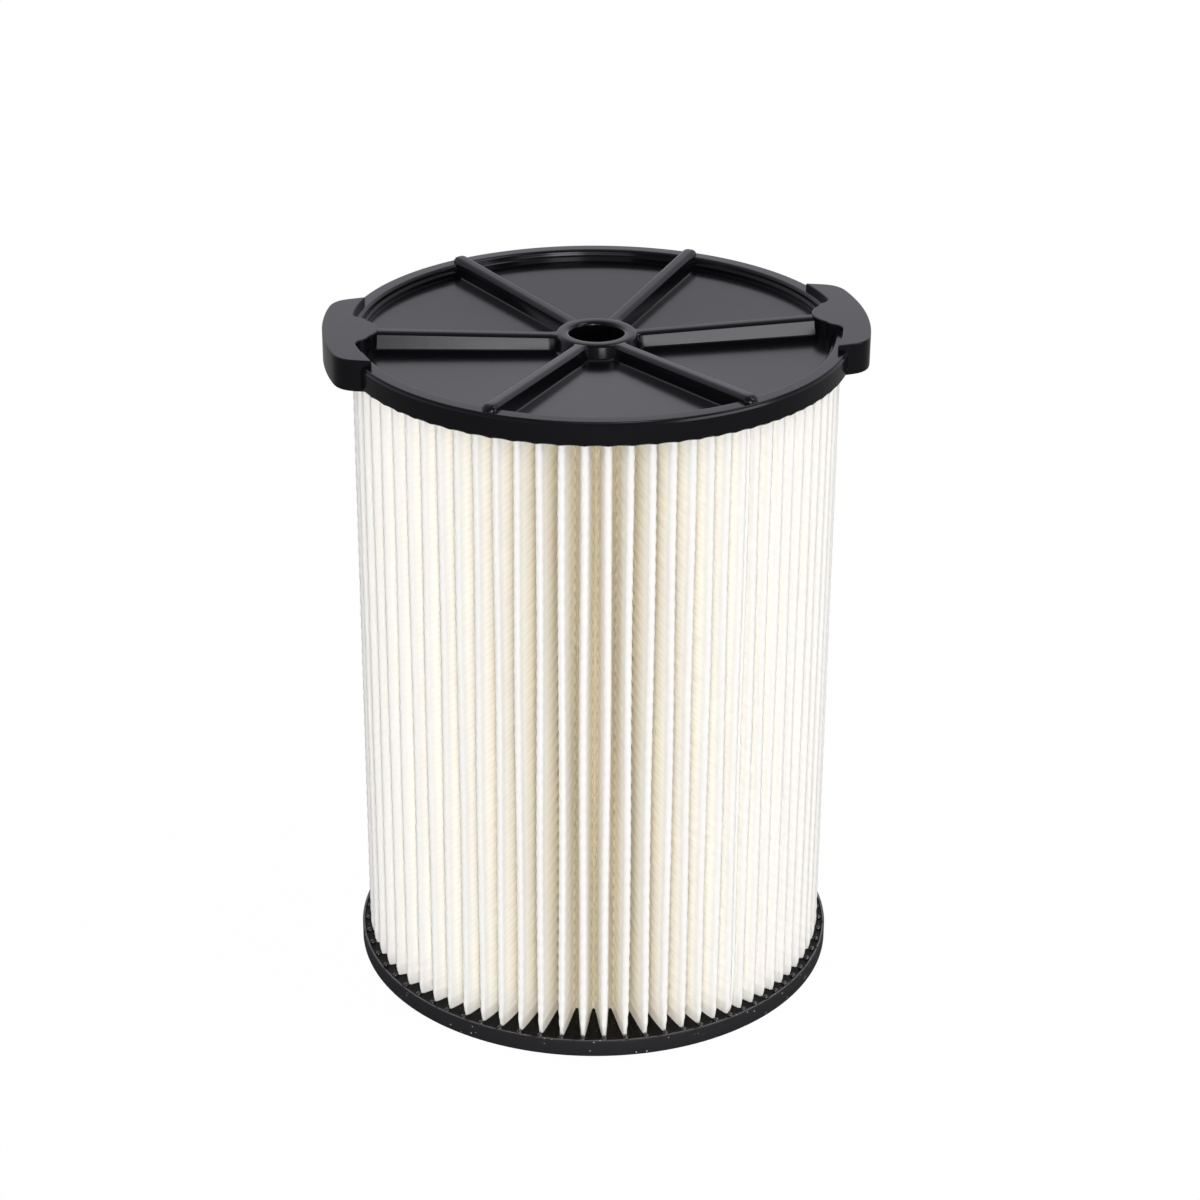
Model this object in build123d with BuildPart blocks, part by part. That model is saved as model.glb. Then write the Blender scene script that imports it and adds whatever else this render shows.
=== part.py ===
from build123d import *
from math import asin, cos, pi, radians, sin, sqrt
import os

os.makedirs("parts", exist_ok=True)

# Pleated cartridge filter of a wet and dry vacuum cleaner, in millimetres.
# It stands on its soft sealing ring at z = 0, with the two grip tabs along X.

# Overall sizes
rim_top = 216.0            # top of the cap's raised rim
cap_radius = 78.5          # outside of the cap's rim and skirt

# Moulded cap
skirt_height = 7.2         # from the rim's top down to the skirt's lower edge
skirt_wall = 2.3
rim_width = 5.3            # flat top of the rim
rim_edge = 0.7             # broken edges of the rim
step_depth = 1.9           # from the rim down to the narrow step inside it
step_width = 0.8
recess_depth = 3.6         # from the rim down to the outer edge of the dished floor
dish_depth = 2.4           # how much lower the floor lies at the hub
wall_draft = 0.2
plate_wall = 2.0
trough_depth = 1.4         # adhesive trough under the rim
trough_wall = 2.0

# Hub with its through bore
hub_bore_radius = 8.35
hub_wall = 3.65            # at the hub's lip
hub_draft = 1.9            # how much wider the hub is at its foot
hub_drop = 1.4             # lip below the rim
hub_edge = 1.0             # broken edges of the hub's lip

# Six ribs, which rise from the hub to rounded ends on the rim
rib_count = 6
rib_width = 4.5
rib_hub_drop = 0.2         # rib below the hub's lip
rib_end_rise = 1.8         # rounded end above the rim
rib_end_inset = 3.3        # rounded end inside the cap's edge
rib_root = 1.4             # how deep a rib is rooted in the floor

# Two grip tabs
tab_count = 2
tab_reach = 5.7            # beyond the cap's edge
tab_inset = 2.9            # inner edge, inside the cap's edge
tab_base_half = 28.8       # half width where the tab meets the rim
tab_tip_half = 26.0        # half width at the outer corners
tab_corner_radius = 4.5
tab_rise = 2.0             # above the rim
tab_drop = 0.8             # below the skirt
tab_edge = 0.7             # broken edge round the tab's top
beak_length = 8.6          # from the tab's inner edge to the point that meets the rib
beak_half = 12.9           # half width where the beak leaves the inner edge
nose_length = 3.2          # rounded end of the beak
nose_half = 7.2

# Pleated paper
pleat_count = 74
pleat_depth = 17.9         # from the outer to the inner folds
pleat_gap = 0.7            # between the outer folds and the skirt
paper = 0.7
tip_fold_radius = 0.65     # to the middle of the paper
valley_fold_radius = 0.75
first_tip = -172.1         # degrees
wander = ((1, 3.9, 13.6), (2, 2.2, -28.2), (4, 1.25, 59.0))  # turns, degrees, phase
seam_tip = 22              # the fold that carries the glued lap seam
seam_share = 0.6           # how far the lap reaches down the flank

# Support grid inside the pleats
core_gap = 0.8             # between the grid and the inner folds
core_wall = 1.8
core_columns = 8
core_rows = 4
core_bar = 3.2             # width of the grid's upright bars
core_hoop = 4.0            # height of the grid's hoops

# Poured end beds
ring_inset = 0.5           # ring's edge inside the cap's edge
ring_height = 6.0
ring_lip = 2.0             # compound inside the support grid
ring_floor = 2.0           # compound below the paper's lower edge
ring_edge = 0.6            # broken edges of the ring
bed_lip = 0.5              # compound inside the support grid
bed_drop = 0.4             # compound that shows under the skirt
bed_cover = 0.4            # compound above the paper's upper edge
bond_gap = 0.1             # between the paper or grid and its slot

# Levels of the cap
floor_edge = rim_top - recess_depth
floor_hub = floor_edge - dish_depth
step_level = rim_top - step_depth
skirt_bottom = rim_top - skirt_height
trough_top = skirt_bottom + trough_depth
hub_top = rim_top - hub_drop
rib_hub_top = hub_top - rib_hub_drop
rib_end_top = rim_top + rib_end_rise
tab_top = rim_top + tab_rise
tab_bottom = skirt_bottom - tab_drop
bed_bottom = skirt_bottom - bed_drop
paper_top = trough_top - bed_cover

# Radii, from the cap's edge inwards
skirt_inner_radius = cap_radius - skirt_wall
pleat_tip_radius = skirt_inner_radius - pleat_gap
pleat_valley_radius = pleat_tip_radius - pleat_depth
core_outer_radius = pleat_valley_radius - core_gap
core_inner_radius = core_outer_radius - core_wall
trough_inner_radius = core_inner_radius - bed_lip
trough_hub_radius = trough_inner_radius - trough_wall
ring_radius = cap_radius - ring_inset
ring_bore_radius = core_inner_radius - ring_lip
tip_centre = pleat_tip_radius - paper / 2 - tip_fold_radius
valley_centre = pleat_valley_radius + paper / 2 + valley_fold_radius
rim_inner_radius = cap_radius - rim_width
step_outer_radius = rim_inner_radius - wall_draft
floor_radius = step_outer_radius - step_width - wall_draft
tab_outer_radius = cap_radius + tab_reach
tab_inner_radius = cap_radius - tab_inset
beak_reach = tab_inner_radius - beak_length
rib_end_radius = cap_radius - rib_end_inset
hub_lip_radius = hub_bore_radius + hub_wall
hub_base_radius = hub_lip_radius + hub_draft
floor_slope = dish_depth / (floor_radius - hub_base_radius)


def dished_floor(radius):
    """Height of the cap's floor at a radius."""
    return floor_hub + floor_slope * (radius - hub_base_radius)


def tip_angle(index):
    """Direction of an outer fold: evenly spaced, with the pack's slow bunching."""
    turn = 2 * pi * index / pleat_count
    drift = sum(size * sin(times * turn + radians(phase)) for times, size, phase in wander)
    return radians(first_tip + 360 * index / pleat_count + drift)


def polar(radius, angle):
    return Vector(radius * cos(angle), radius * sin(angle))


def from_axis(point):
    return sqrt(point.X**2 + point.Y**2)


def flank(tip, valley, side):
    """Unit normal of the straight paper between an outer and an inner fold."""
    along = valley - tip
    lean = asin((tip_fold_radius + valley_fold_radius) / along.length)
    across = Vector(-along.Y, along.X).normalized() * side
    return across * cos(lean) + along.normalized() * sin(lean)


def crease(centre, angle, normal, bend):
    """Corner where a flank meets the flat of its fold."""
    radial = polar(1, angle)
    along = Vector(-normal.Y, normal.X)
    slide = bend * (1 - normal.dot(radial)) / along.dot(radial)
    return centre + normal * bend + along * slide


def fold_outline(offset):
    """Closed line that follows the paper's middle at an offset, outwards positive."""
    tip_bend = tip_fold_radius + offset
    valley_bend = offset - valley_fold_radius
    corners = []
    for index in range(pleat_count):
        here = tip_angle(index)
        last_turn = (tip_angle(index - 1) + here) / 2
        next_turn = (here + tip_angle(index + 1)) / 2
        tip = polar(tip_centre, here)
        last_valley = polar(valley_centre, last_turn)
        next_valley = polar(valley_centre, next_turn)
        rising = flank(tip, last_valley, 1)
        falling = flank(tip, next_valley, -1)
        corners.append(crease(last_valley, last_turn, rising, valley_bend))
        corners.append(crease(tip, here, rising, tip_bend))
        corners.append(crease(tip, here, falling, tip_bend))
        corners.append(crease(next_valley, next_turn, falling, valley_bend))
    Polyline(*corners, close=True)


def seam_outline(gap):
    """Strip of paper that laps one flank and ends level with the fold."""
    here = tip_angle(seam_tip)
    tip = polar(tip_centre, here)
    valley = polar(valley_centre, (here + tip_angle(seam_tip + 1)) / 2)
    normal = flank(tip, valley, -1)
    start = tip + normal * (tip_fold_radius + paper / 2)
    end = valley - normal * (valley_fold_radius - paper / 2)
    run = (end - start).normalized()
    foot = start + run * ((end - start).length * seam_share + gap)
    head = start - run * gap
    outer = normal * (paper + gap)
    Polyline(head, foot, foot + outer, head + outer, close=True)


def tab_outline():
    """Plan of one grip tab on +X, with its beak pointing at the axis."""
    corner = Vector(sqrt(tab_outer_radius**2 - tab_tip_half**2), tab_tip_half)
    root = Vector(sqrt(tab_inner_radius**2 - tab_base_half**2), tab_base_half)
    shoulder = Vector(sqrt(tab_inner_radius**2 - beak_half**2), beak_half)
    cheek = Vector(beak_reach + nose_length, nose_half)
    root_turn = asin(tab_base_half / tab_inner_radius)
    shoulder_turn = asin(beak_half / tab_inner_radius)
    nock = polar(tab_inner_radius, (root_turn + shoulder_turn) / 2)
    RadiusArc(corner, (corner.X, -corner.Y), tab_outer_radius)
    Line(corner, root)
    Line((corner.X, -corner.Y), (root.X, -root.Y))
    ThreePointArc(root, nock, shoulder)
    ThreePointArc((root.X, -root.Y), (nock.X, -nock.Y), (shoulder.X, -shoulder.Y))
    Line(shoulder, cheek)
    Line((shoulder.X, -shoulder.Y), (cheek.X, -cheek.Y))
    ThreePointArc(cheek, (beak_reach, 0), (cheek.X, -cheek.Y))


# Grip tab: the upper part stands on the rim, the lower part hugs the skirt
with BuildPart() as tab:
    with BuildSketch(Plane.XY.offset(floor_edge - plate_wall / 2)) as tab_plan:
        with BuildLine():
            tab_outline()
        make_face()
        outer_corners = tab_plan.vertices().group_by(Axis.X)[-1]
        fillet(outer_corners, tab_corner_radius)
    extrude(amount=tab_top - floor_edge + plate_wall / 2)
    with BuildSketch(Plane.XY.offset(tab_bottom)):
        with BuildLine():
            tab_outline()
        lower_plan = make_face()
        lower_corners = lower_plan.vertices().group_by(Axis.X)[-1]
        fillet(lower_corners, tab_corner_radius)
        Circle(cap_radius - skirt_wall / 2, mode=Mode.SUBTRACT)
    extrude(amount=floor_edge - plate_wall / 2 - tab_bottom)
    top_edges = tab.faces().sort_by(Axis.Z)[-1].edges()
    grip_edges = top_edges.filter_by(lambda edge: from_axis(edge @ 0.5) > tab_inner_radius + tab_edge)
    chamfer(grip_edges, tab_edge)

# Rib from the hub to its rounded end on the rim
rib_start = Vector(hub_lip_radius, 0, rib_hub_top)
rib_end = Vector(rib_end_radius, 0, rib_end_top)
rib_run = rib_end - rib_start
rib_depth = rib_hub_top - floor_hub + rib_root
with BuildPart() as rib:
    with BuildSketch(Plane(origin=rib_start, x_dir=(0, 1, 0), z_dir=rib_run)):
        with Locations((0, -rib_width / 2)):
            Circle(rib_width / 2)
        with Locations((0, -(rib_depth + rib_width / 2) / 2)):
            Rectangle(rib_width, rib_depth - rib_width / 2)
    extrude(amount=rib_run.length)
    with BuildSketch(Plane.XY.offset(floor_edge)):
        with Locations((rib_end_radius, 0)):
            Circle(rib_width / 2)
    extrude(amount=rib_end_top - rib_width / 2 - floor_edge)
    with Locations((rib_end_radius, 0, rib_end_top - rib_width / 2)):
        Sphere(rib_width / 2)

# Moulded cap: rim, skirt, dished floor, hub and the adhesive trough underneath
with BuildPart() as top_cap:
    with BuildSketch(Plane.XZ) as section:
        with BuildLine():
            Polyline(
                (cap_radius, skirt_bottom),
                (cap_radius, rim_top),
                (rim_inner_radius, rim_top),
                (step_outer_radius, step_level),
                (step_outer_radius - step_width, step_level),
                (floor_radius, floor_edge),
                (hub_base_radius, floor_hub),
                (hub_lip_radius, hub_top),
                (hub_bore_radius, hub_top),
                (hub_bore_radius, floor_hub - plate_wall),
                (hub_base_radius, floor_hub - plate_wall),
                (trough_hub_radius, dished_floor(trough_hub_radius) - plate_wall),
                (trough_hub_radius, skirt_bottom),
                (trough_inner_radius, skirt_bottom),
                (trough_inner_radius, trough_top),
                (skirt_inner_radius, trough_top),
                (skirt_inner_radius, skirt_bottom),
                close=True,
            )
        make_face()
        rim_corners = section.vertices().group_by(Axis.Y)[-1]
        chamfer(rim_corners, rim_edge)
        lip_corners = section.vertices().filter_by(lambda v: abs(v.Y - hub_top) < 0.001)
        chamfer(lip_corners, hub_edge)
    revolve(axis=Axis.Z)
    with PolarLocations(0, rib_count):
        add(rib.part)
    with PolarLocations(0, tab_count):
        add(tab.part)
    Hole(hub_bore_radius)

# One sheet of paper folded into a ring, its ends lapped and glued at the seam
with BuildPart() as pleated_media:
    with BuildSketch(Plane.XY.offset(ring_floor)):
        with BuildLine():
            fold_outline(paper / 2)
        make_face()
        with BuildLine():
            fold_outline(-paper / 2)
        make_face(mode=Mode.SUBTRACT)
        with BuildLine():
            seam_outline(0)
        make_face()
    extrude(amount=paper_top - ring_floor)

# Slots that the paper and the grid stand in, the same at both ends
with BuildSketch() as slots:
    with BuildLine():
        fold_outline(paper / 2 + bond_gap)
    make_face()
    with BuildLine():
        fold_outline(-paper / 2 - bond_gap)
    make_face(mode=Mode.SUBTRACT)
    with BuildLine():
        seam_outline(bond_gap)
    make_face()
    Circle(core_outer_radius + bond_gap)
    Circle(core_inner_radius - bond_gap, mode=Mode.SUBTRACT)

# Moulded grid tube that keeps the pleats off the motor's suction
with BuildPart() as inner_core:
    with BuildSketch(Plane.XY.offset(ring_floor)):
        Circle(core_outer_radius)
        Circle(core_inner_radius, mode=Mode.SUBTRACT)
    extrude(amount=paper_top - ring_floor)
    grid_bottom = ring_height + core_hoop
    grid_top = bed_bottom - core_hoop
    row_pitch = (grid_top - grid_bottom + core_hoop) / core_rows
    column_pitch = 2 * pi * core_outer_radius / core_columns
    for row in range(core_rows):
        middle = grid_bottom + row * row_pitch + (row_pitch - core_hoop) / 2
        with Locations((0, 0, middle)):
            with PolarLocations(core_outer_radius, core_columns):
                Box(4 * core_wall, column_pitch - core_bar, row_pitch - core_hoop, mode=Mode.SUBTRACT)

# Soft ring poured round the foot of the pleats
with BuildPart() as bottom_ring:
    with BuildSketch():
        Circle(ring_radius)
        Circle(ring_bore_radius, mode=Mode.SUBTRACT)
    extrude(amount=ring_height)
    chamfer(bottom_ring.edges().filter_by(GeomType.CIRCLE), ring_edge)
    add(slots.sketch.moved(Location((0, 0, ring_floor))))
    extrude(amount=ring_height - ring_floor, mode=Mode.SUBTRACT)

# Bed of compound that holds the pleats in the cap's trough
with BuildPart() as top_potting:
    with BuildSketch(Plane.XY.offset(bed_bottom)):
        Circle(skirt_inner_radius)
        Circle(trough_inner_radius, mode=Mode.SUBTRACT)
    extrude(amount=trough_top - bed_bottom)
    add(slots.sketch.moved(Location((0, 0, bed_bottom))))
    extrude(amount=paper_top - bed_bottom, mode=Mode.SUBTRACT)

top_cap.part.label = "top_cap"
export_step(top_cap.part, "parts/top_cap.step")
top_potting.part.label = "top_potting"
export_step(top_potting.part, "parts/top_potting.step")
pleated_media.part.label = "pleated_media"
export_step(pleated_media.part, "parts/pleated_media.step")
inner_core.part.label = "inner_core"
export_step(inner_core.part, "parts/inner_core.step")
bottom_ring.part.label = "bottom_ring"
export_step(bottom_ring.part, "parts/bottom_ring.step")
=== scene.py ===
import bpy
from math import asin, atan2, cos, hypot, pi, radians, sin
from mathutils import Matrix, Vector


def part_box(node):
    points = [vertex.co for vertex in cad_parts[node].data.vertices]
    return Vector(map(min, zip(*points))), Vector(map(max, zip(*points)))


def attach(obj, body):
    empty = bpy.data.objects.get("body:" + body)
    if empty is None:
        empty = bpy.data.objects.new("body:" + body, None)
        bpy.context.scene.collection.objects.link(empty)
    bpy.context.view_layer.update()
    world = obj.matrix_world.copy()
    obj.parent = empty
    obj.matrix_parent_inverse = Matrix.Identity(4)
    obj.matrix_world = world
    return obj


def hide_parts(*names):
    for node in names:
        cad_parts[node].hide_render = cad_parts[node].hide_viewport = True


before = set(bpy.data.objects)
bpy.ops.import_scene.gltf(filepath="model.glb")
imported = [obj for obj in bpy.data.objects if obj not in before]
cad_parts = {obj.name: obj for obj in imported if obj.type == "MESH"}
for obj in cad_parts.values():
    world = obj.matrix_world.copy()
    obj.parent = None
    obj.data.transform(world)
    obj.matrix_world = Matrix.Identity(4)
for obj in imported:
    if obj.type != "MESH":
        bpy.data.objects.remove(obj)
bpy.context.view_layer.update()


# Sealing ring: soft black compound, cast in a mould round the foot of the pleats. Its wall has
# the mould's dull face. The open top set as a wet skin, with a thin flash along the outer edge
# and a bead where each fold stands in it.
mm = 0.001
touch = 0.01 * mm
crease_angle = radians(40)
ring_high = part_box("bottom_ring")[1]
ring_radius = ring_high.x
ring_height = ring_high.z
ring_bore = 53.0 * mm
ring_foot_round = 0.9 * mm
ring_lip_round = 0.35 * mm
bore_edge = 0.5 * mm
bore_lip_width = 0.8 * mm
bore_lip_drop = 0.2 * mm
flash_width = 0.75 * mm
flash_slope = 0.25 * mm
flash_foot = 0.15 * mm
flash_unevenness = 0.1 * mm
flash_waves = ((37, 0), (83, 1), (149, 2))
skin_drop = 0.55 * mm
skin_climb = 0.1 * mm
bead_radius = 1.0 * mm
bead_place = 76.05 * mm

pleat_count = 74
first_tip = -172.1
wander = ((1, 3.9, 13.6), (2, 2.2, -28.2), (4, 1.25, 59.0))


def tip_angle(index):
    """Direction of an outer fold: evenly spaced, with the pack's slow bunching."""
    turn = 2 * pi * index / pleat_count
    drift = sum(size * sin(times * turn + radians(phase)) for times, size, phase in wander)
    return radians(first_tip + 360 * index / pleat_count + drift)


tip_angles = [tip_angle(index) for index in range(pleat_count)]


def nearness_to_fold(angle):
    """1 on an outer fold and 0 half way to the next."""
    gap = min(abs((angle - tip + pi) % (2 * pi) - pi) for tip in tip_angles)
    return max(0.0, 1 - gap / radians(180 / pleat_count))


def turned(name, profile, segments):
    """A closed section of (radius, height) points, drawn round the axis by extruding a circle."""
    bpy.ops.object.select_all(action="DESELECT")
    radius, height = profile[0]
    bpy.ops.mesh.primitive_circle_add(vertices=segments, radius=radius, location=(0, 0, height))
    bpy.ops.object.transform_apply(location=True)
    piece = bpy.context.object
    piece.name = name
    bpy.ops.object.mode_set(mode="EDIT")
    bpy.ops.mesh.select_all(action="SELECT")
    for next_radius, next_height in profile[1:] + profile[:1]:
        rise = next_height - height
        grow = next_radius / radius
        bpy.ops.mesh.extrude_edges_move(TRANSFORM_OT_translate={"value": (0, 0, rise)})
        bpy.ops.transform.resize(value=(grow, grow, 1), center_override=(0, 0, 0))
        radius, height = next_radius, next_height
    bpy.ops.mesh.select_all(action="SELECT")
    bpy.ops.mesh.remove_doubles(threshold=touch)
    bpy.ops.mesh.normals_make_consistent(inside=False)
    bpy.ops.object.mode_set(mode="OBJECT")
    bpy.ops.object.shade_smooth_by_angle(angle=crease_angle)
    return piece


def rounded(centre_radius, centre_height, size, start, end, steps=4):
    """Points of a round on a turned section, by angles in degrees."""
    turns = [radians(start + (end - start) * step / steps) for step in range(steps + 1)]
    return [(centre_radius + size * cos(t), centre_height + size * sin(t)) for t in turns]


skin_level = ring_height - skin_drop
flash_inner = ring_radius - flash_width
skin_radii = [radius * mm for radius in (76.2, 75.6, 74.6, 73.0, 70.0, 66.0, 62.0, 58.5, 55.5)]
skin_climb_from = 72.0 * mm
ring_profile = [(ring_bore, bore_edge), (ring_bore + bore_edge, 0)]
ring_profile += rounded(ring_radius - ring_foot_round, ring_foot_round, ring_foot_round, -90, 0)
lip_centre = (ring_radius - ring_lip_round, ring_height - ring_lip_round)
ring_profile += rounded(*lip_centre, ring_lip_round, 0, 90)
ring_profile += [(flash_inner, ring_height), (flash_inner - flash_slope, skin_level + flash_foot)]
ring_profile += [(radius, skin_level) for radius in skin_radii]
ring_profile += [(ring_bore + bore_lip_width, ring_height - bore_lip_drop)]
ring_profile += [(ring_bore, ring_height - bore_lip_width)]
sealing_ring = turned("sealing_ring", ring_profile, pleat_count * 8)
for vertex in sealing_ring.data.vertices:
    radius = hypot(vertex.co.x, vertex.co.y)
    angle = atan2(vertex.co.y, vertex.co.x)
    if abs(vertex.co.z - skin_level) < touch and radius > skin_climb_from:
        vertex.co.z += skin_climb * nearness_to_fold(angle) ** 2
    if vertex.co.z > ring_height - touch:
        ripple = sum(sin(times * angle + phase) for times, phase in flash_waves)
        vertex.co.z += flash_unevenness * ripple / len(flash_waves)

bpy.ops.object.select_all(action="DESELECT")
bpy.ops.mesh.primitive_uv_sphere_add(segments=12, ring_count=6, radius=bead_radius)
beads = bpy.context.object
bpy.ops.object.mode_set(mode="EDIT")
bpy.ops.mesh.select_all(action="SELECT")
bpy.ops.transform.translate(value=(bead_place, 0, skin_level))
bpy.ops.transform.rotate(value=-tip_angles[0], orient_axis="Z", center_override=(0, 0, 0))
for index in range(1, pleat_count):
    step = tip_angles[index] - tip_angles[index - 1]
    bpy.ops.mesh.duplicate()
    bpy.ops.transform.rotate(value=-step, orient_axis="Z", center_override=(0, 0, 0))
bpy.ops.object.mode_set(mode="OBJECT")
bpy.ops.object.shade_smooth()


def join(pieces, carrier):
    """Makes the carrier and its pieces one mesh."""
    bpy.ops.object.select_all(action="DESELECT")
    for piece in pieces + [carrier]:
        piece.select_set(True)
    bpy.context.view_layer.objects.active = carrier
    bpy.ops.object.join()


bead_first = len(sealing_ring.data.polygons)
join([beads], sealing_ring)


def wire(tree, source, output, target, entry):
    tree.links.new(source.outputs[output], target.inputs[entry])


def effect_group(name, entries, result):
    """An empty node group with its inputs, one output and the piece's own coordinates."""
    tree = bpy.data.node_groups.new(name, "ShaderNodeTree")
    for entry in entries:
        tree.interface.new_socket(entry, in_out="INPUT", socket_type="NodeSocketFloat")
    tree.interface.new_socket(result, in_out="OUTPUT", socket_type="NodeSocketFloat")
    place = tree.nodes.new("ShaderNodeTexCoord")
    return tree, tree.nodes.new("NodeGroupInput"), tree.nodes.new("NodeGroupOutput"), place


dust, dust_in, dust_out, dust_place = effect_group("settled_dust", ("Scale", "Amount"), "Mask")
dust_cells = dust.nodes.new("ShaderNodeTexVoronoi")
dust_size = dust.nodes.new("ShaderNodeTexNoise")
dust_size.inputs["Scale"].default_value = 45
dust_limit = dust.nodes.new("ShaderNodeMath")
dust_limit.operation = "MULTIPLY"
dust_test = dust.nodes.new("ShaderNodeMath")
dust_test.operation = "LESS_THAN"
wire(dust, dust_place, "Object", dust_cells, "Vector")
wire(dust, dust_place, "Object", dust_size, "Vector")
wire(dust, dust_in, "Scale", dust_cells, "Scale")
wire(dust, dust_size, "Fac", dust_limit, 0)
wire(dust, dust_in, "Amount", dust_limit, 1)
wire(dust, dust_cells, "Distance", dust_test, 0)
wire(dust, dust_limit, "Value", dust_test, 1)
wire(dust, dust_test, "Value", dust_out, "Mask")

grain, grain_in, grain_out, grain_place = effect_group("skin_grain", ("Scale", "Detail"), "Height")
grain_noise = grain.nodes.new("ShaderNodeTexNoise")
wire(grain, grain_place, "Object", grain_noise, "Vector")
wire(grain, grain_in, "Scale", grain_noise, "Scale")
wire(grain, grain_in, "Detail", grain_noise, "Detail")
wire(grain, grain_noise, "Fac", grain_out, "Height")


def finish(name, roughness, grain_scale, grain_height, detail=6):
    """A new material whose fine unevenness is felt through the surface normal."""
    made = bpy.data.materials.new(name)
    made.use_nodes = True
    tree = made.node_tree
    shader = tree.nodes["Principled BSDF"]
    shader.inputs["Roughness"].default_value = roughness
    skin = tree.nodes.new("ShaderNodeGroup")
    skin.node_tree = grain
    skin.inputs["Scale"].default_value = grain_scale
    skin.inputs["Detail"].default_value = detail
    bump = tree.nodes.new("ShaderNodeBump")
    bump.inputs["Distance"].default_value = grain_height
    wire(tree, skin, "Height", bump, "Height")
    wire(tree, bump, "Normal", shader, "Normal")
    return made, tree, shader


def dusted(tree, shader, base, speck, scale, amount):
    """Base colour with pale specks of settled dust."""
    specks = tree.nodes.new("ShaderNodeGroup")
    specks.node_tree = dust
    specks.inputs["Scale"].default_value = scale
    specks.inputs["Amount"].default_value = amount
    mix = tree.nodes.new("ShaderNodeMix")
    mix.data_type = "RGBA"
    mix.inputs[6].default_value = base
    mix.inputs[7].default_value = speck
    wire(tree, specks, "Mask", mix, 0)
    tree.links.new(mix.outputs[2], shader.inputs["Base Color"])


dull, dull_tree, dull_shader = finish(
    "mould_dull_compound", roughness=0.5, grain_scale=900, grain_height=0.04 * mm
)
dull_shader.inputs["Specular IOR Level"].default_value = 0.3
dusted(
    dull_tree, dull_shader,
    base=(0.01, 0.0097, 0.0114, 1), speck=(0.35, 0.34, 0.32, 1), scale=420, amount=0.16,
)
wet, wet_tree, wet_shader = finish(
    "wet_black_skin", roughness=0.22, grain_scale=500, grain_height=0.05 * mm
)
wet_shader.inputs["Specular IOR Level"].default_value = 0.08
dusted(
    wet_tree, wet_shader,
    base=(0.003, 0.003, 0.0034, 1), speck=(0.3, 0.29, 0.28, 1), scale=420, amount=0.12,
)
# The flash's pale grey base is a painted highlight along the ring's top edge; the specks on it are
# dust.
flash_highlight_paint, thin_tree, thin_shader = finish(
    "flash_painted_highlight", roughness=0.4, grain_scale=900, grain_height=0.04 * mm
)
dusted(
    thin_tree, thin_shader,
    base=(0.06, 0.06, 0.064, 1), speck=(0.4, 0.39, 0.37, 1), scale=600, amount=0.2,
)
bead_gloss, _, bead_shader = finish(
    "bead_gloss", roughness=0.14, grain_scale=500, grain_height=0.01 * mm
)
bead_shader.inputs["Specular IOR Level"].default_value = 1.0
bead_shader.inputs["Base Color"].default_value = (0.003, 0.003, 0.0033, 1)
for compound in (dull, wet, bead_gloss, flash_highlight_paint):
    sealing_ring.data.materials.append(compound)
bead_place_in_list, flash_place_in_list = 2, 3
for face in sealing_ring.data.polygons:
    across = hypot(face.center.x, face.center.y)
    on_skin = face.center.z > skin_level - bead_radius and across < flash_inner
    face.material_index = int(on_skin and across > ring_bore + bore_lip_drop / 2)
    if face.index >= bead_first:
        face.material_index = bead_place_in_list
    elif across > flash_inner and face.center.z > ring_height - 0.5 * flash_unevenness:
        face.material_index = flash_place_in_list
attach(sealing_ring, "root")
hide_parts("bottom_ring")


# Pleated paper: one sheet of cream filter paper, embossed with cross ribs so that the folds
# keep apart, folded into a ring and glued along a lap seam that shows as a second narrow
# ridge beside one fold. Both ends stand in the cast compound.
paper_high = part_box("pleated_media")[1]
tip_radius = 75.35 * mm
valley_radius = 58.2 * mm
tip_fold = 1.1 * mm
valley_fold = 0.7 * mm
flank_bow = 0.18 * mm
flank_shares = (0.0, 0.22, 0.44, 0.64, 0.83)
emboss_pitch = 4.4 * mm
emboss_depth = 0.32 * mm
emboss_at_tip = 0.25
emboss_sharpness = 0.25
emboss_skew = 0.6
lean_size = 0.3 * mm
lean_turn = 5.3
lean_step = 2.4
rows = 236
sectors = 4
seam_tip = 22
seam_share = 0.6
lap_height = 0.45 * mm
lap_width = 1.3 * mm
lap_groove = 1.0 * mm
foot_taper_height = 12.0 * mm
foot_round_height = 2.2 * mm
foot_set_back = 0.6 * mm
foot_pinch = 0.45
paper_bottom = ring_height - 1.5 * mm
paper_top = paper_high.z - 0.2 * mm


def polar(radius, angle):
    return Vector((radius * cos(angle), radius * sin(angle)))


def flank_normal(tip, valley, side):
    """Outer side of the straight paper between an outer and an inner fold."""
    along = valley - tip
    slope = asin((tip_fold + valley_fold) / along.length)
    across = Vector((-along.y, along.x)).normalized() * side
    return across * cos(slope) + along.normalized() * sin(slope)


def bend(centre, size, start, end, steps):
    """Points and outward normals round a fold, from one flank's normal to the other's."""
    turn = start.angle_signed(end)
    made = []
    for step in range(steps + 1):
        normal = start.copy()
        normal.rotate(Matrix.Rotation(-turn * step / steps, 2))
        made.append((centre + normal * size, normal))
    return made


def lap_ridge(start, end, normal):
    """The sheet's raw edge, glued beside a fold: a groove, a narrow ridge and its long side."""
    run = (end - start).normalized()
    lap = (end - start).length * seam_share
    groove = [(lap_groove, 0.1), (0, 0.3)]
    ridge = [(-lap_height, 0.4), (-lap_height, 0.85), (0, 1)]
    side = [(lap, 0.9), (lap + lap_groove, 0)]
    made = []
    for along, share in groove + ridge + side:
        made.append((start + run * along + normal * lap_width * share, normal))
    return made


def flank_points(foot, head, normal):
    """Points up the straight paper from an inner to an outer fold, bowed a little outwards."""
    made = []
    for share in flank_shares:
        swell = flank_bow * sin(pi * share**1.5)
        made.append((foot.lerp(head, share) + normal * swell, normal))
    return made


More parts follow.
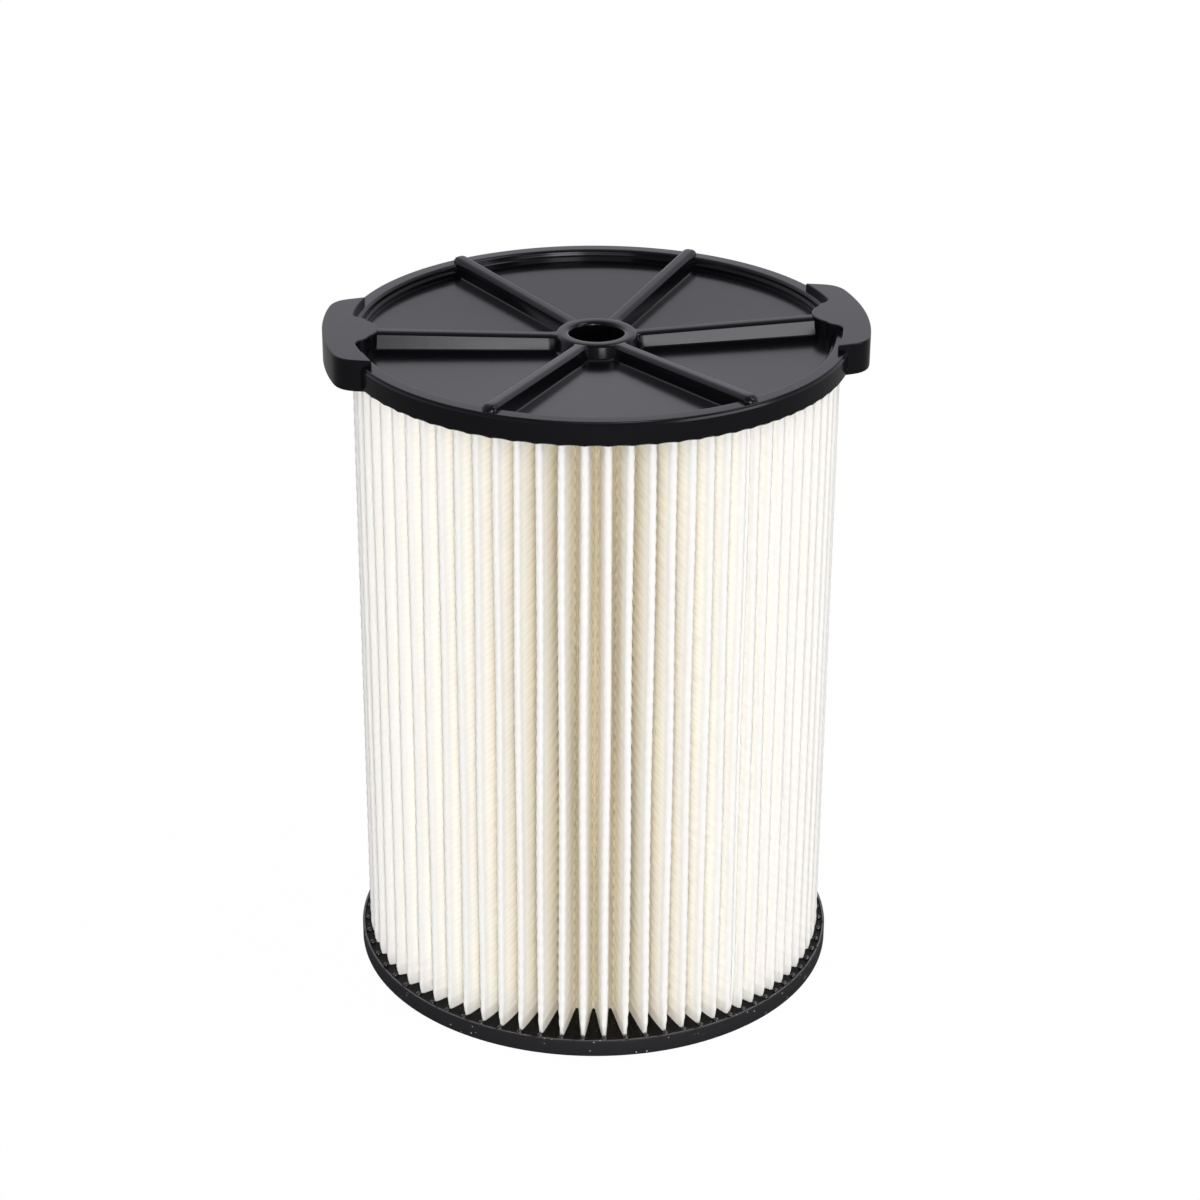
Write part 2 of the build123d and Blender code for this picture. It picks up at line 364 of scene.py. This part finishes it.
def fold_line(first, last):
    """Points of the sheet from one inner fold to another: place, outer side and fold."""
    line = []
    for index in range(first, last):
        here = tip_angle(index)
        before = (tip_angle(index - 1) + here) / 2
        after = (here + tip_angle(index + 1)) / 2
        tip = polar(tip_radius - tip_fold, here)
        last_valley = polar(valley_radius + valley_fold, before)
        next_valley = polar(valley_radius + valley_fold, after)
        rising = flank_normal(tip, last_valley, 1)
        falling = flank_normal(tip, next_valley, -1)
        foot = last_valley - rising * valley_fold
        end = next_valley - falling * valley_fold
        crown = bend(tip, tip_fold, rising, falling, 5)
        points = [(polar(valley_radius, before), polar(1, before))]
        points += flank_points(foot, crown[0][0], rising)
        points += crown
        if index == seam_tip:
            points += lap_ridge(crown[-1][0], end, falling)
        else:
            points += reversed(flank_points(end, crown[-1][0], falling)[1:])
        points.append((end, falling))
        line += [(place, normal, index) for place, normal in points]
    closing = (tip_angle(last - 1) + tip_angle(last)) / 2
    line.append((polar(valley_radius, closing), polar(1, closing), last))
    return line


def emboss(height):
    """How far the sheet stands out at a height: rounded ribs with narrow grooves between."""
    turn = 2 * pi * height / emboss_pitch
    return emboss_depth * (sin(turn) + emboss_sharpness * sin(2 * turn + emboss_skew))


def lean(index, share):
    """Small sideways wander of a fold between the two cast ends."""
    return lean_size * sin(pi * share) * sin(lean_turn * share + lean_step * index)


def pinched(place, index, share, height):
    """Place of the paper after its foot was drawn together and set back in the compound."""
    stand = max(0.0, height - ring_height)
    taper = foot_pinch * share * max(0.0, 1 - stand / foot_taper_height) ** 1.5
    set_back = foot_set_back * share * max(0.0, 1 - stand / foot_round_height) ** 2
    forward = polar(1, tip_angle(index))
    sideways = Vector((-forward.y, forward.x))
    reach = place.dot(forward) - set_back
    return forward * reach + sideways * place.dot(sideways) * (1 - taper)


def pleat_sector(number):
    """A quarter of the pack: the fold line drawn up to the paper's height, then embossed."""
    first = round(pleat_count * number / sectors)
    last = round(pleat_count * (number + 1) / sectors)
    line = fold_line(first, last)
    mesh = bpy.data.meshes.new("pleats")
    points = [(place.x, place.y, paper_bottom) for place, normal, index in line]
    mesh.from_pydata(points, [(i, i + 1) for i in range(len(points) - 1)], [])
    piece = bpy.data.objects.new("pleats_%d" % (number + 1), mesh)
    bpy.context.collection.objects.link(piece)
    bpy.ops.object.select_all(action="DESELECT")
    piece.select_set(True)
    bpy.context.view_layer.objects.active = piece
    rise = piece.modifiers.new("rise", "SCREW")
    rise.angle = 0
    rise.screw_offset = paper_top - paper_bottom
    rise.steps = rows
    rise.render_steps = rows
    rise.use_smooth_shade = True
    bpy.ops.object.modifier_apply(modifier="rise")
    depth = piece.data.attributes.new("depth", "FLOAT", "POINT")
    for vertex in piece.data.vertices:
        row, column = divmod(vertex.index, len(line))
        place, normal, index = line[column]
        share = (place.length - valley_radius) / (tip_radius - valley_radius)
        sideways = lean(index, row / rows) * share / place.length
        out = emboss(vertex.co.z) * (1 - (1 - emboss_at_tip) * share)
        stood = pinched(place, index, share, vertex.co.z)
        vertex.co.x = stood.x + normal.x * out - stood.y * sideways
        vertex.co.y = stood.y + normal.y * out + stood.x * sideways
        depth.data[vertex.index].value = share
    return piece


paper, paper_tree, paper_shader = finish(
    "embossed_cream_paper", roughness=0.85, grain_scale=2600, grain_height=0.03 * mm, detail=4
)
paper_shader.inputs["Specular IOR Level"].default_value = 0.2
# The paper's colour runs with its depth in the fold. It is tan and darker at the valley bottoms,
# warmer low on the flanks and greyer on the outer folds. That is painted shade for the light that
# reaches each part. The cream itself is the paper's own colour.
paper_depth = paper_tree.nodes.new("ShaderNodeAttribute")
paper_depth.attribute_name = "depth"
paper_depth_shade_ramp = paper_tree.nodes.new("ShaderNodeValToRGB")
paper_depth_shade_ramp.color_ramp.elements[0].color = (0.55, 0.485, 0.36, 1)
paper_depth_shade_ramp.color_ramp.elements[1].color = (0.655, 0.645, 0.63, 1)
paper_depth_shade_ramp.color_ramp.elements[0].position = 0.025
paper_depth_shade_ramp.color_ramp.elements[1].position = 1.0
painted_fold_shades = (
    (0.14, (0.98, 0.92, 0.79, 1)),
    (0.55, (0.99, 0.945, 0.84, 1)),
    (0.8, (0.955, 0.93, 0.87, 1)),
)
for place, shade in painted_fold_shades:
    paper_depth_shade_ramp.color_ramp.elements.new(place).color = shade
paper_place = paper_tree.nodes.new("ShaderNodeTexCoord")
paper_cloud = paper_tree.nodes.new("ShaderNodeTexNoise")
paper_cloud.inputs["Scale"].default_value = 90
paper_cloud.inputs["Detail"].default_value = 5
paper_shade = paper_tree.nodes.new("ShaderNodeMix")
paper_shade.data_type = "RGBA"
paper_shade.blend_type = "MULTIPLY"
paper_shade.inputs[0].default_value = 0.04
paper_split = paper_tree.nodes.new("ShaderNodeSeparateXYZ")
# Thin dark lines in the emboss grooves, fading towards the outer folds, are painted shade.
groove_turn = paper_tree.nodes.new("ShaderNodeMath")
groove_turn.operation = "MULTIPLY"
groove_turn.inputs[1].default_value = 4 * pi / emboss_pitch
groove_wave = paper_tree.nodes.new("ShaderNodeMath")
groove_wave.operation = "SINE"
groove_line = paper_tree.nodes.new("ShaderNodeMapRange")
groove_line.inputs["From Min"].default_value = 0.1
groove_line.inputs["To Max"].default_value = 0.12
groove_fade = paper_tree.nodes.new("ShaderNodeMapRange")
groove_fade.inputs["From Min"].default_value = 0.6
groove_fade.inputs["From Max"].default_value = 0.97
groove_fade.inputs["To Min"].default_value = 1
groove_fade.inputs["To Max"].default_value = 0.15
groove_share = paper_tree.nodes.new("ShaderNodeMath")
groove_share.operation = "MULTIPLY"
painted_groove_shade = paper_tree.nodes.new("ShaderNodeMix")
painted_groove_shade.data_type = "RGBA"
painted_groove_shade.inputs[7].default_value = (0.5, 0.43, 0.32, 1)
# The paper is greyer over its lowest 4 mm. Part of this is compound that wicked into the paper, and
# part is painted shade at the foot.
paper_foot = paper_tree.nodes.new("ShaderNodeMapRange")
paper_foot.inputs["From Min"].default_value = ring_height
paper_foot.inputs["From Max"].default_value = ring_height + 4 * mm
paper_foot.inputs["To Min"].default_value = 0.35
paper_foot.inputs["To Max"].default_value = 0
foot_stain_and_painted_shade = paper_tree.nodes.new("ShaderNodeMix")
foot_stain_and_painted_shade.data_type = "RGBA"
foot_stain_and_painted_shade.inputs[7].default_value = (0.55, 0.53, 0.5, 1)
wire(paper_tree, paper_depth, "Fac", paper_depth_shade_ramp, "Fac")
wire(paper_tree, paper_place, "Object", paper_cloud, "Vector")
wire(paper_tree, paper_place, "Object", paper_split, "Vector")
wire(paper_tree, paper_split, "Z", paper_foot, "Value")
wire(paper_tree, paper_foot, "Result", foot_stain_and_painted_shade, 0)
wire(paper_tree, paper_split, "Z", groove_turn, 0)
wire(paper_tree, groove_turn, "Value", groove_wave, 0)
wire(paper_tree, groove_wave, "Value", groove_line, "Value")
wire(paper_tree, paper_depth, "Fac", groove_fade, "Value")
wire(paper_tree, groove_line, "Result", groove_share, 0)
wire(paper_tree, groove_fade, "Result", groove_share, 1)
wire(paper_tree, groove_share, "Value", painted_groove_shade, 0)
paper_tree.links.new(paper_depth_shade_ramp.outputs["Color"], paper_shade.inputs[6])
paper_tree.links.new(paper_cloud.outputs["Color"], paper_shade.inputs[7])
paper_tree.links.new(paper_shade.outputs[2], painted_groove_shade.inputs[6])
paper_tree.links.new(painted_groove_shade.outputs[2], foot_stain_and_painted_shade.inputs[6])
paper_tree.links.new(foot_stain_and_painted_shade.outputs[2], paper_shader.inputs["Base Color"])

for number in range(sectors):
    pleats = pleat_sector(number)
    pleats.data.materials.append(paper)
    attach(pleats, "root")
    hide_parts("pleated_media")


# Support grid: black moulded tube behind the pleats, which keeps them from folding in. It
# stands in both cast ends and is seen only through the open foot.
grid, grid_tree, grid_shader = finish(
    "grid_plastic", roughness=0.55, grain_scale=700, grain_height=0.03 * mm
)
dusted(
    grid_tree, grid_shader,
    base=(0.03, 0.03, 0.032, 1), speck=(0.3, 0.29, 0.27, 1), scale=300, amount=0.08,
)
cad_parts["inner_core"].data.materials.clear()
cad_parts["inner_core"].data.materials.append(grid)


# Upper bed: the same black compound, poured into the cap's trough to hold the paper and the
# grid. A little of it shows between the pleats from below.
bed, bed_tree, bed_shader = finish(
    "upper_bed_compound", roughness=0.45, grain_scale=600, grain_height=0.06 * mm
)
dusted(
    bed_tree, bed_shader,
    base=(0.012, 0.012, 0.013, 1), speck=(0.2, 0.2, 0.19, 1), scale=400, amount=0.05,
)
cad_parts["top_potting"].data.materials.clear()
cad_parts["top_potting"].data.materials.append(bed)


# Cap: one black moulding with a raised rim, a dished floor, six ribs that run from the hub to
# rounded ends on the rim, and two grip tabs whose beaks meet the ribs. Compound that was
# squeezed out under the skirt hangs a little lower at every fold.
cap_radius = 78.5 * mm
rim_top = 216.0 * mm
skirt_bottom = 208.8 * mm
skirt_inner = 76.2 * mm
skirt_edge = 0.3 * mm
squeeze_drop = 0.3 * mm
squeeze_from = 70.0 * mm
rim_edge = 0.3 * mm
ledge_width = 0.5 * mm
ledge_drop = 0.65 * mm
rim_inner = 73.2 * mm
rim_inner_round = 1.1 * mm
step_level = rim_top - 1.9 * mm
step_curve = ((73.1, 0.25), (72.9, 0), (72.5, 0), (72.3, -0.2))
floor_edge = 212.4 * mm
floor_edge_curve = ((72.25, 0.12), (72.1, 0))
floor_hub = 210.0 * mm
floor_radius = 72.0 * mm
floor_middle = (43.0 * mm, 211.2 * mm)
hub_foot = 13.9 * mm
hub_foot_curve = ((15.3, 0.05), (14.3, 0.25), (13.8, 0.7))
hub_lip_radius = 12.7 * mm
hub_top = 214.6 * mm
hub_bore = 8.35 * mm
hub_round = 1.3 * mm
trough_top = 210.2 * mm
trough_hub = 52.5 * mm
trough_inner = 54.5 * mm
plate_meets_trough = 209.58 * mm
plate = 2.0 * mm

ledge_radius = cap_radius - ledge_width
ledge_level = rim_top - ledge_drop
rim_round_centre = (rim_inner + rim_inner_round, rim_top - rim_inner_round)
cap_profile = [(skirt_inner, skirt_bottom), (cap_radius - skirt_edge, skirt_bottom)]
cap_profile += [(cap_radius, skirt_bottom + skirt_edge)]
cap_profile += [(cap_radius, ledge_level - ledge_width), (ledge_radius, ledge_level)]
cap_profile += rounded(ledge_radius - rim_edge, rim_top - rim_edge, rim_edge, 0, 90, 3)
cap_profile += rounded(*rim_round_centre, rim_inner_round, 90, 180, 6)
cap_profile += [(radius * mm, step_level + rise * mm) for radius, rise in step_curve]
cap_profile += [(radius * mm, floor_edge + rise * mm) for radius, rise in floor_edge_curve]
cap_profile += [floor_middle]
cap_profile += [(radius * mm, floor_hub + rise * mm) for radius, rise in hub_foot_curve]
cap_profile += rounded(hub_lip_radius - hub_round, hub_top - hub_round, hub_round, 18, 90, 5)
cap_profile += rounded(hub_bore + hub_round, hub_top - hub_round, hub_round, 90, 180)
cap_profile += [(hub_bore, floor_hub - plate), (hub_foot, floor_hub - plate)]
cap_profile += [(trough_hub, plate_meets_trough), (trough_hub, skirt_bottom)]
cap_profile += [(trough_inner, skirt_bottom), (trough_inner, trough_top), (skirt_inner, trough_top)]
cap = turned("ribbed_cap", cap_profile, pleat_count * 8)
for vertex in cap.data.vertices:
    under_skirt = vertex.co.z < skirt_bottom + touch
    if under_skirt and hypot(vertex.co.x, vertex.co.y) > squeeze_from:
        angle = atan2(vertex.co.y, vertex.co.x)
        vertex.co.z -= squeeze_drop * nearness_to_fold(angle) ** 2


def floor_height(radius):
    return floor_hub + (floor_edge - floor_hub) * (radius - hub_foot) / (floor_radius - hub_foot)


rib_count = 6
rib_half = 2.4 * mm
rib_corner = 1.6 * mm
rib_draft = 0.9 * mm
rib_end = Vector((75.2 * mm, 217.8 * mm))
rib_start = Vector((11.4 * mm, 214.3 * mm))
rib_ledge_width = 0.5 * mm
rib_ledge_height = 0.25 * mm
rib_sink = 0.05 * mm
rib_corner_steps = 6
rib_flare = ((0, 1.3), (0.7, 0.7), (1.5, 0.28), (2.6, 0.05), (4, 0), (32, 0), (61.5, 0))
rib_dome_turns = (0, 20, 40, 58, 74, 90)


def rib_stations():
    """Places along a rib: radius, half width and height of the back, with the domed end."""
    slope = (rib_end.y - rib_start.y) / (rib_end.x - rib_start.x)
    made = []
    for along, flare in rib_flare:
        back = rib_start.y + along * mm * slope
        made.append((rib_start.x + along * mm, rib_half + flare * mm, back))
    for turn in rib_dome_turns:
        shrink = cos(radians(turn))
        reach = rib_end.x + rib_half * sin(radians(turn))
        made.append((reach, rib_half * shrink, rib_end.y - rib_half * (1 - shrink)))
    return made


def rib_section(radius, half, top):
    """Points across a rib, over its flat back from one foot to the other."""
    ground = floor_height(radius)
    foot = half + rib_draft * half / rib_half
    near = [(foot + rib_ledge_width, ground - rib_sink), (foot, ground + rib_ledge_height)]
    corner = min(rib_corner, half)
    near += rounded(half - corner, top - corner, corner, 0, 90, rib_corner_steps)
    far = [(-across, height) for across, height in reversed(near)]
    return near + far


def rib(angle):
    """A flat grid shaped into a drafted bar with a ledge at its foot, turned to its place."""
    stations = rib_stations()
    sections = [rib_section(*station) for station in stations]
    columns, crossings = len(stations) - 1, len(sections[0]) - 1
    bpy.ops.object.select_all(action="DESELECT")
    bpy.ops.mesh.primitive_grid_add(x_subdivisions=columns, y_subdivisions=crossings, size=1)
    piece = bpy.context.object
    for vertex in piece.data.vertices:
        column = round((vertex.co.x + 0.5) * columns)
        crossing = round((vertex.co.y + 0.5) * crossings)
        across, height = sections[column][crossing]
        vertex.co = (stations[column][0], across, height)
    bpy.ops.object.mode_set(mode="EDIT")
    bpy.ops.mesh.select_all(action="SELECT")
    bpy.ops.mesh.remove_doubles(threshold=touch)
    bpy.ops.mesh.normals_make_consistent(inside=False)
    bpy.ops.transform.rotate(value=-angle, orient_axis="Z", center_override=(0, 0, 0))
    bpy.ops.object.mode_set(mode="OBJECT")
    bpy.ops.object.shade_smooth_by_angle(angle=crease_angle)
    return piece


ribs = [rib(2 * pi * number / rib_count) for number in range(rib_count)]

tab_outer = 84.2 * mm
tab_inner = 75.6 * mm
tab_base_half = 28.4 * mm
tab_tip_half = 26.0 * mm
tab_corner = 5.0 * mm
tab_top = 218.0 * mm
tab_bottom = 208.0 * mm
tab_edge = 0.4 * mm
beak_point = 67.2 * mm
beak_half = 12.9 * mm
beak_hollow = 0.3 * mm
nose_length = 3.2 * mm
nose_half = 7.2 * mm
skirt_seat = 77.4 * mm
seat_below_floor = 0.6 * mm


def arc_points(radius, start, end, steps):
    return [polar(radius, start + (end - start) * step / steps) for step in range(steps + 1)]


def tab_plan():
    """Half plan of a tab from the middle of its outer edge round to the beak, then mirrored."""
    corner_turn = asin(tab_tip_half / tab_outer)
    root_turn = asin(tab_base_half / tab_inner)
    shoulder_turn = asin(beak_half / tab_inner)
    corner_start = corner_turn - tab_corner / tab_outer
    outer_end = polar(tab_outer, corner_start)
    corner = polar(tab_outer, corner_turn)
    root = polar(tab_inner, root_turn)
    corner_exit = corner + (root - corner).normalized() * tab_corner
    half = arc_points(tab_outer, 0, corner_start, 10)
    for step in range(1, 6):
        share = step / 5
        half.append(outer_end.lerp(corner, share).lerp(corner.lerp(corner_exit, share), share))
    half.append(root)
    half += arc_points(tab_inner, root_turn, shoulder_turn, 6)[1:]
    cheek = Vector((beak_point + nose_length, nose_half))
    shoulder = half[-1]
    for step in range(1, 8):
        share = step / 8
        hollow = beak_hollow * sin(2 * pi * share)
        half.append(shoulder.lerp(cheek, share) - Vector((-hollow, hollow)))
    nose_radius = (nose_half**2 + nose_length**2) / (2 * nose_length)
    nose_turn = asin(nose_half / nose_radius)
    for step in range(7):
        turn = nose_turn * (1 - step / 6)
        half.append(Vector((beak_point + nose_radius * (1 - cos(turn)), nose_radius * sin(turn))))
    mirrored = [Vector((p.x, -p.y)) for p in half[-2:0:-1]]
    return half + mirrored


def grip_tab(angle):
    """The plan raised to a slab with rounded edges, cut away below the floor to hug the skirt."""
    plan = tab_plan()
    bpy.ops.object.select_all(action="DESELECT")
    mesh = bpy.data.meshes.new("grip_tab")
    mesh.from_pydata([(p.x, p.y, tab_bottom) for p in plan], [], [list(range(len(plan)))])
    piece = bpy.data.objects.new("grip_tab", mesh)
    bpy.context.collection.objects.link(piece)
    piece.select_set(True)
    bpy.context.view_layer.objects.active = piece
    bpy.ops.object.mode_set(mode="EDIT")
    bpy.ops.mesh.select_all(action="SELECT")
    rise = (0, 0, tab_top - tab_bottom)
    bpy.ops.mesh.extrude_region_move(TRANSFORM_OT_translate={"value": rise})
    bpy.ops.mesh.select_all(action="SELECT")
    bpy.ops.mesh.normals_make_consistent(inside=False)
    bpy.ops.object.mode_set(mode="OBJECT")
    soften = piece.modifiers.new("soften", "BEVEL")
    soften.width = tab_edge
    soften.segments = 3
    soften.limit_method = "ANGLE"
    soften.angle_limit = radians(50)
    bpy.ops.object.modifier_apply(modifier="soften")
    seat_top = floor_edge - seat_below_floor
    seat_depth = 2 * (seat_top - tab_bottom)
    seat_middle = (0, 0, seat_top - seat_depth / 2)
    bpy.ops.mesh.primitive_cylinder_add(
        vertices=240, radius=skirt_seat, depth=seat_depth, location=seat_middle
    )
    cutter = bpy.context.object
    bpy.ops.object.select_all(action="DESELECT")
    piece.select_set(True)
    bpy.context.view_layer.objects.active = piece
    seat = piece.modifiers.new("seat", "BOOLEAN")
    seat.object = cutter
    seat.operation = "DIFFERENCE"
    seat.solver = "EXACT"
    bpy.ops.object.modifier_apply(modifier="seat")
    bpy.data.objects.remove(cutter)
    bpy.ops.object.mode_set(mode="EDIT")
    bpy.ops.mesh.select_all(action="SELECT")
    bpy.ops.transform.rotate(value=-angle, orient_axis="Z", center_override=(0, 0, 0))
    bpy.ops.object.mode_set(mode="OBJECT")
    bpy.ops.object.shade_smooth_by_angle(angle=radians(45))
    return piece


tabs = [grip_tab(angle) for angle in (0, pi)]
join(ribs + tabs, cap)
flatten = cap.modifiers.new("flatten", "WEIGHTED_NORMAL")
flatten.keep_sharp = True
bpy.ops.object.modifier_apply(modifier="flatten")

plastic, plastic_tree, plastic_shader = finish(
    "moulded_black_plastic", roughness=0.16, grain_scale=160, grain_height=0.012 * mm, detail=3
)
plastic_shader.inputs["Specular IOR Level"].default_value = 0.24
plastic_shader.inputs["Specular Tint"].default_value = (0.96, 0.95, 1, 1)
dusted(
    plastic_tree, plastic_shader,
    base=(0.0028, 0.0028, 0.0036, 1), speck=(0.1, 0.1, 0.1, 1), scale=260, amount=0.03,
)
cap.data.materials.append(plastic)
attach(cap, "root")
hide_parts("top_cap")


# Floor and light: a pale sheet under a white surround, clear when seen from below. The low
# lamp in front and the one behind only fill the paper. The front and the wide lamp only shine
# on the plastic, which mirrors the white behind it. Side and upper lamps do both.
floor_size = 12
floor_drop = 0.05 * mm
floor_white = 1.03
floor_seen = 0.96
floor_bounce = 0.3
bpy.ops.mesh.primitive_plane_add(size=floor_size, location=(0, 0, -floor_drop))
bpy.ops.object.transform_apply(location=True)
floor = bpy.context.object
floor.name = "pale_floor"
pale = bpy.data.materials.new("pale_floor")
pale.use_nodes = True
pale.use_transparent_shadow = False
pale_tree = pale.node_tree
pale_shader = pale_tree.nodes["Principled BSDF"]
pale_shader.inputs["Base Color"].default_value = (0.18, 0.18, 0.18, 1)
pale_shader.inputs["Roughness"].default_value = 0.9
pale_glow = pale_tree.nodes.new("ShaderNodeEmission")
pale_glow.inputs["Strength"].default_value = floor_white
pale_path = pale_tree.nodes.new("ShaderNodeLightPath")
pale_share = pale_tree.nodes.new("ShaderNodeMath")
pale_share.operation = "MULTIPLY"
pale_share.inputs[1].default_value = floor_seen
pale_mix = pale_tree.nodes.new("ShaderNodeMixShader")
pale_bounce = pale_tree.nodes.new("ShaderNodeMath")
pale_bounce.operation = "MULTIPLY"
pale_bounce.inputs[1].default_value = floor_bounce
pale_glows = pale_tree.nodes.new("ShaderNodeMath")
pale_glows.operation = "MAXIMUM"
wire(pale_tree, pale_path, "Is Camera Ray", pale_share, 0)
wire(pale_tree, pale_path, "Is Diffuse Ray", pale_bounce, 0)
wire(pale_tree, pale_share, "Value", pale_glows, 0)
wire(pale_tree, pale_bounce, "Value", pale_glows, 1)
wire(pale_tree, pale_glows, "Value", pale_mix, "Fac")
pale_tree.links.new(pale_shader.outputs["BSDF"], pale_mix.inputs[1])
pale_tree.links.new(pale_glow.outputs["Emission"], pale_mix.inputs[2])
pale_side = pale_tree.nodes.new("ShaderNodeNewGeometry")
pale_open = pale_tree.nodes.new("ShaderNodeBsdfTransparent")
pale_sheet = pale_tree.nodes.new("ShaderNodeMixShader")
wire(pale_tree, pale_side, "Backfacing", pale_sheet, "Fac")
pale_tree.links.new(pale_mix.outputs["Shader"], pale_sheet.inputs[1])
pale_tree.links.new(pale_open.outputs["BSDF"], pale_sheet.inputs[2])
wire(pale_tree, pale_sheet, "Shader", pale_tree.nodes["Material Output"], "Surface")
floor.data.materials.append(pale)

surround_front = 0.8
surround_back = 0.7
mirrored_front = 0.2
mirrored_back = 0.96
front_end = -0.5
back_end = 0.6
lamp_aim = Vector((0, 0, 0.11))
world = bpy.data.worlds.new("white_surround")
bpy.context.scene.world = world
world.use_nodes = True
world_tree = world.node_tree
world_light = world_tree.nodes["Background"]
world_place = world_tree.nodes.new("ShaderNodeTexCoord")
world_split = world_tree.nodes.new("ShaderNodeSeparateXYZ")
world_path = world_tree.nodes.new("ShaderNodeLightPath")
world_mirror = world_tree.nodes.new("ShaderNodeMix")
world_tint = world_tree.nodes.new("ShaderNodeMix")
world_tint.data_type = "RGBA"
world_tint.inputs[6].default_value = (1, 1, 1, 1)
world_tint.inputs[7].default_value = (0.965, 0.945, 1.04, 1)


def front_to_back(front, behind):
    """Brightness that runs from the camera's side of the surround to its far side."""
    made = world_tree.nodes.new("ShaderNodeMapRange")
    made.inputs["From Min"].default_value = front_end
    made.inputs["From Max"].default_value = back_end
    made.inputs["To Min"].default_value = front
    made.inputs["To Max"].default_value = behind
    wire(world_tree, world_split, "Y", made, "Value")
    return made


world_white = world_tree.nodes.new("ShaderNodeMath")
world_white.operation = "MAXIMUM"
wire(world_tree, world_place, "Generated", world_split, "Vector")
wire(world_tree, world_path, "Is Glossy Ray", world_mirror, 0)
wire(world_tree, world_path, "Is Glossy Ray", world_tint, 0)
world_tree.links.new(world_tint.outputs[2], world_light.inputs["Color"])
wire(world_tree, front_to_back(surround_front, surround_back), "Result", world_mirror, 2)
wire(world_tree, front_to_back(mirrored_front, mirrored_back), "Result", world_mirror, 3)
wire(world_tree, world_mirror, 0, world_white, 0)
wire(world_tree, world_path, "Is Camera Ray", world_white, 1)
wire(world_tree, world_white, "Value", world_light, "Strength")


def soft_lamp(name, place, size, power, fills=True, shines=True):
    """A flat lamp aimed at the filter, which may only fill the paper or only shine."""
    data = bpy.data.lights.new(name, "AREA")
    data.shape = "RECTANGLE"
    data.size, data.size_y = size
    data.energy = power
    lamp = bpy.data.objects.new(name, data)
    lamp.location = place
    aim = lamp_aim - Vector(place)
    lamp.rotation_euler = aim.to_track_quat("-Z", "Y").to_euler()
    bpy.context.collection.objects.link(lamp)
    lamp.visible_diffuse = fills
    lamp.visible_glossy = shines


soft_lamp("left_softbox", (-1.25, -0.75, 0.36), (0.7, 0.6), 0.8)
soft_lamp("right_softbox", (1.25, -0.65, 0.36), (0.7, 0.6), 3.3)
soft_lamp("front_softbox", (0.25, -1.4, 0.58), (0.4, 0.7), 6, fills=False)
soft_lamp("low_softbox", (-0.14, -1.3, 0.17), (0.4, 0.3), 12.5, shines=False)
soft_lamp("back_softbox", (0.1, 1.4, 0.3), (1.6, 0.5), 15, shines=False)
soft_lamp("wide_softbox", (0.15, -1.5, 0.6), (1.7, 0.5), 5, fills=False)
soft_lamp("upper_softbox", (0.8, -0.26, 1.25), (0.6, 0.6), 4)


# Camera at the photograph's place: the filter is turned a little, so the camera stands to one
# side of the tabs' cross line.
camera_turn = radians(-6.3)
camera_elevation = radians(25.592)
camera_roll = radians(0.336)
camera_distance = 934.3 * mm
camera_aim = Vector((1.555 * mm, 0, 122.76 * mm))
focal_pixels = 2904
photo_width = 1200
spin = Matrix.Rotation(camera_turn, 3, "Z")
back = spin @ Vector((0, -cos(camera_elevation), sin(camera_elevation)))
right = spin @ Vector((1, 0, 0))
up = back.cross(right)
target = spin @ camera_aim
tilted_right = right * cos(camera_roll) + up * sin(camera_roll)
tilted_up = up * cos(camera_roll) - right * sin(camera_roll)
camera_data = bpy.data.cameras.new("camera")
camera_data.sensor_width = 36
camera_data.lens = camera_data.sensor_width * focal_pixels / photo_width
camera_data.clip_start = 0.05
camera_data.clip_end = 50
camera = bpy.data.objects.new("camera", camera_data)
bpy.context.collection.objects.link(camera)
axes = Matrix((tilted_right, tilted_up, back)).transposed().to_4x4()
camera.matrix_world = Matrix.Translation(target + back * camera_distance) @ axes
bpy.context.scene.camera = camera
bpy.context.scene.view_settings.view_transform = "Standard"
